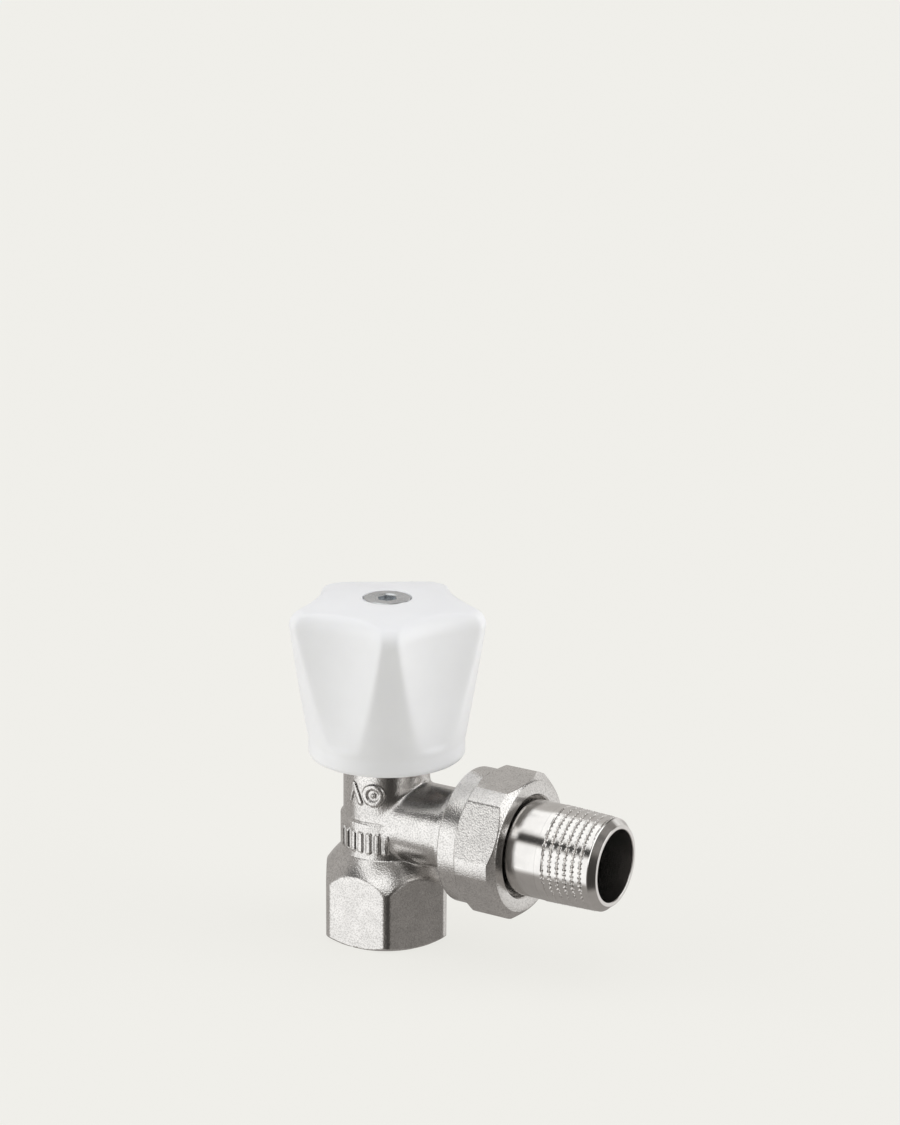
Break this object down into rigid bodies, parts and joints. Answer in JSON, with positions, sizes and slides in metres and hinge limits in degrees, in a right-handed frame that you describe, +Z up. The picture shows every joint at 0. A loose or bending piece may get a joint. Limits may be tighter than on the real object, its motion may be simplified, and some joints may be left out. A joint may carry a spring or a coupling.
{
  "type": "angle pattern manual radiator valve",
  "caption": "Angle radiator valve in nickel-plated brass with a white lobed handwheel, hexagon foot socket, union nut and threaded union tail.",
  "frame": {"origin": "centre of the foot's lower face, at the mouth of the inlet socket, on the spindle axis", "axes": "+Z up along the spindle towards the handwheel; +X out along the union towards the radiator; +Y completes the right-handed set"},
  "size_m": [0.0796, 0.0413, 0.0782],
  "materials": {
    "blasted_nickel": "nickel-plated brass forging, shot-blasted satin with bright rubbed edges",
    "turned_nickel": "nickel-plated brass, turned bright with fine tool lines",
    "bare_brass": "machined, unplated",
    "zinc_steel": "zinc-plated steel, bright with a cool tint",
    "spring_steel": "oiled spring steel",
    "black_rubber": "moulded EPDM, matt",
    "red_fibre": "vulcanised fibre, matt",
    "white_plastic": "injection-moulded ABS, satin gloss"
  },
  "bodies": {
    "valve_body": {"valve_body": "blasted_nickel", "bonnet_seal_ring": "red_fibre", "bonnet": "turned_nickel", "backup_washer": "bare_brass", "stem_o_ring_lower": "black_rubber", "stem_o_ring_upper": "black_rubber", "gland_follower": "bare_brass", "gland_nut": "turned_nickel"},
    "valve_plug": {"plug_carrier": "bare_brass", "disc_gasket": "black_rubber", "disc_washer": "zinc_steel", "disc_screw": "zinc_steel", "swivel_clip": "spring_steel"},
    "spindle": {"spindle": "bare_brass", "spindle_stop_ring": "spring_steel", "handwheel": "white_plastic", "screw_washer": "zinc_steel", "handwheel_screw": "zinc_steel"},
    "union_tail": {"union_tail": "turned_nickel"},
    "union_nut": {"union_nut": "blasted_nickel"}
  },
  "joints": [
    {"name": "plug_lift", "type": "slide", "parent": "valve_body", "child": "valve_plug", "axis": [0, 0, 1], "range_m": [0, 0.0038]},
    {"name": "handwheel_turn", "type": "hinge", "parent": "valve_plug", "child": "spindle", "pos_m": [0, 0, 0.05], "axis": [0, 0, 1], "range_deg": [0, 900]},
    {"name": "tail_release", "type": "slide", "parent": "valve_body", "child": "union_tail", "axis": [1, 0, 0], "range_m": [0, 0.0073]},
    {"name": "union_nut_turn", "type": "hinge", "parent": "union_tail", "child": "union_nut", "pos_m": [0.03, 0, 0.0275], "axis": [1, 0, 0], "range_deg": [0, 1440]}
  ],
  "couplings": [
    {"joint": "plug_lift", "follows": "handwheel_turn", "m_per_rad": 0.00023873},
    {"joint": "tail_release", "follows": "union_nut_turn", "m_per_rad": 0.00028871}
  ]
}
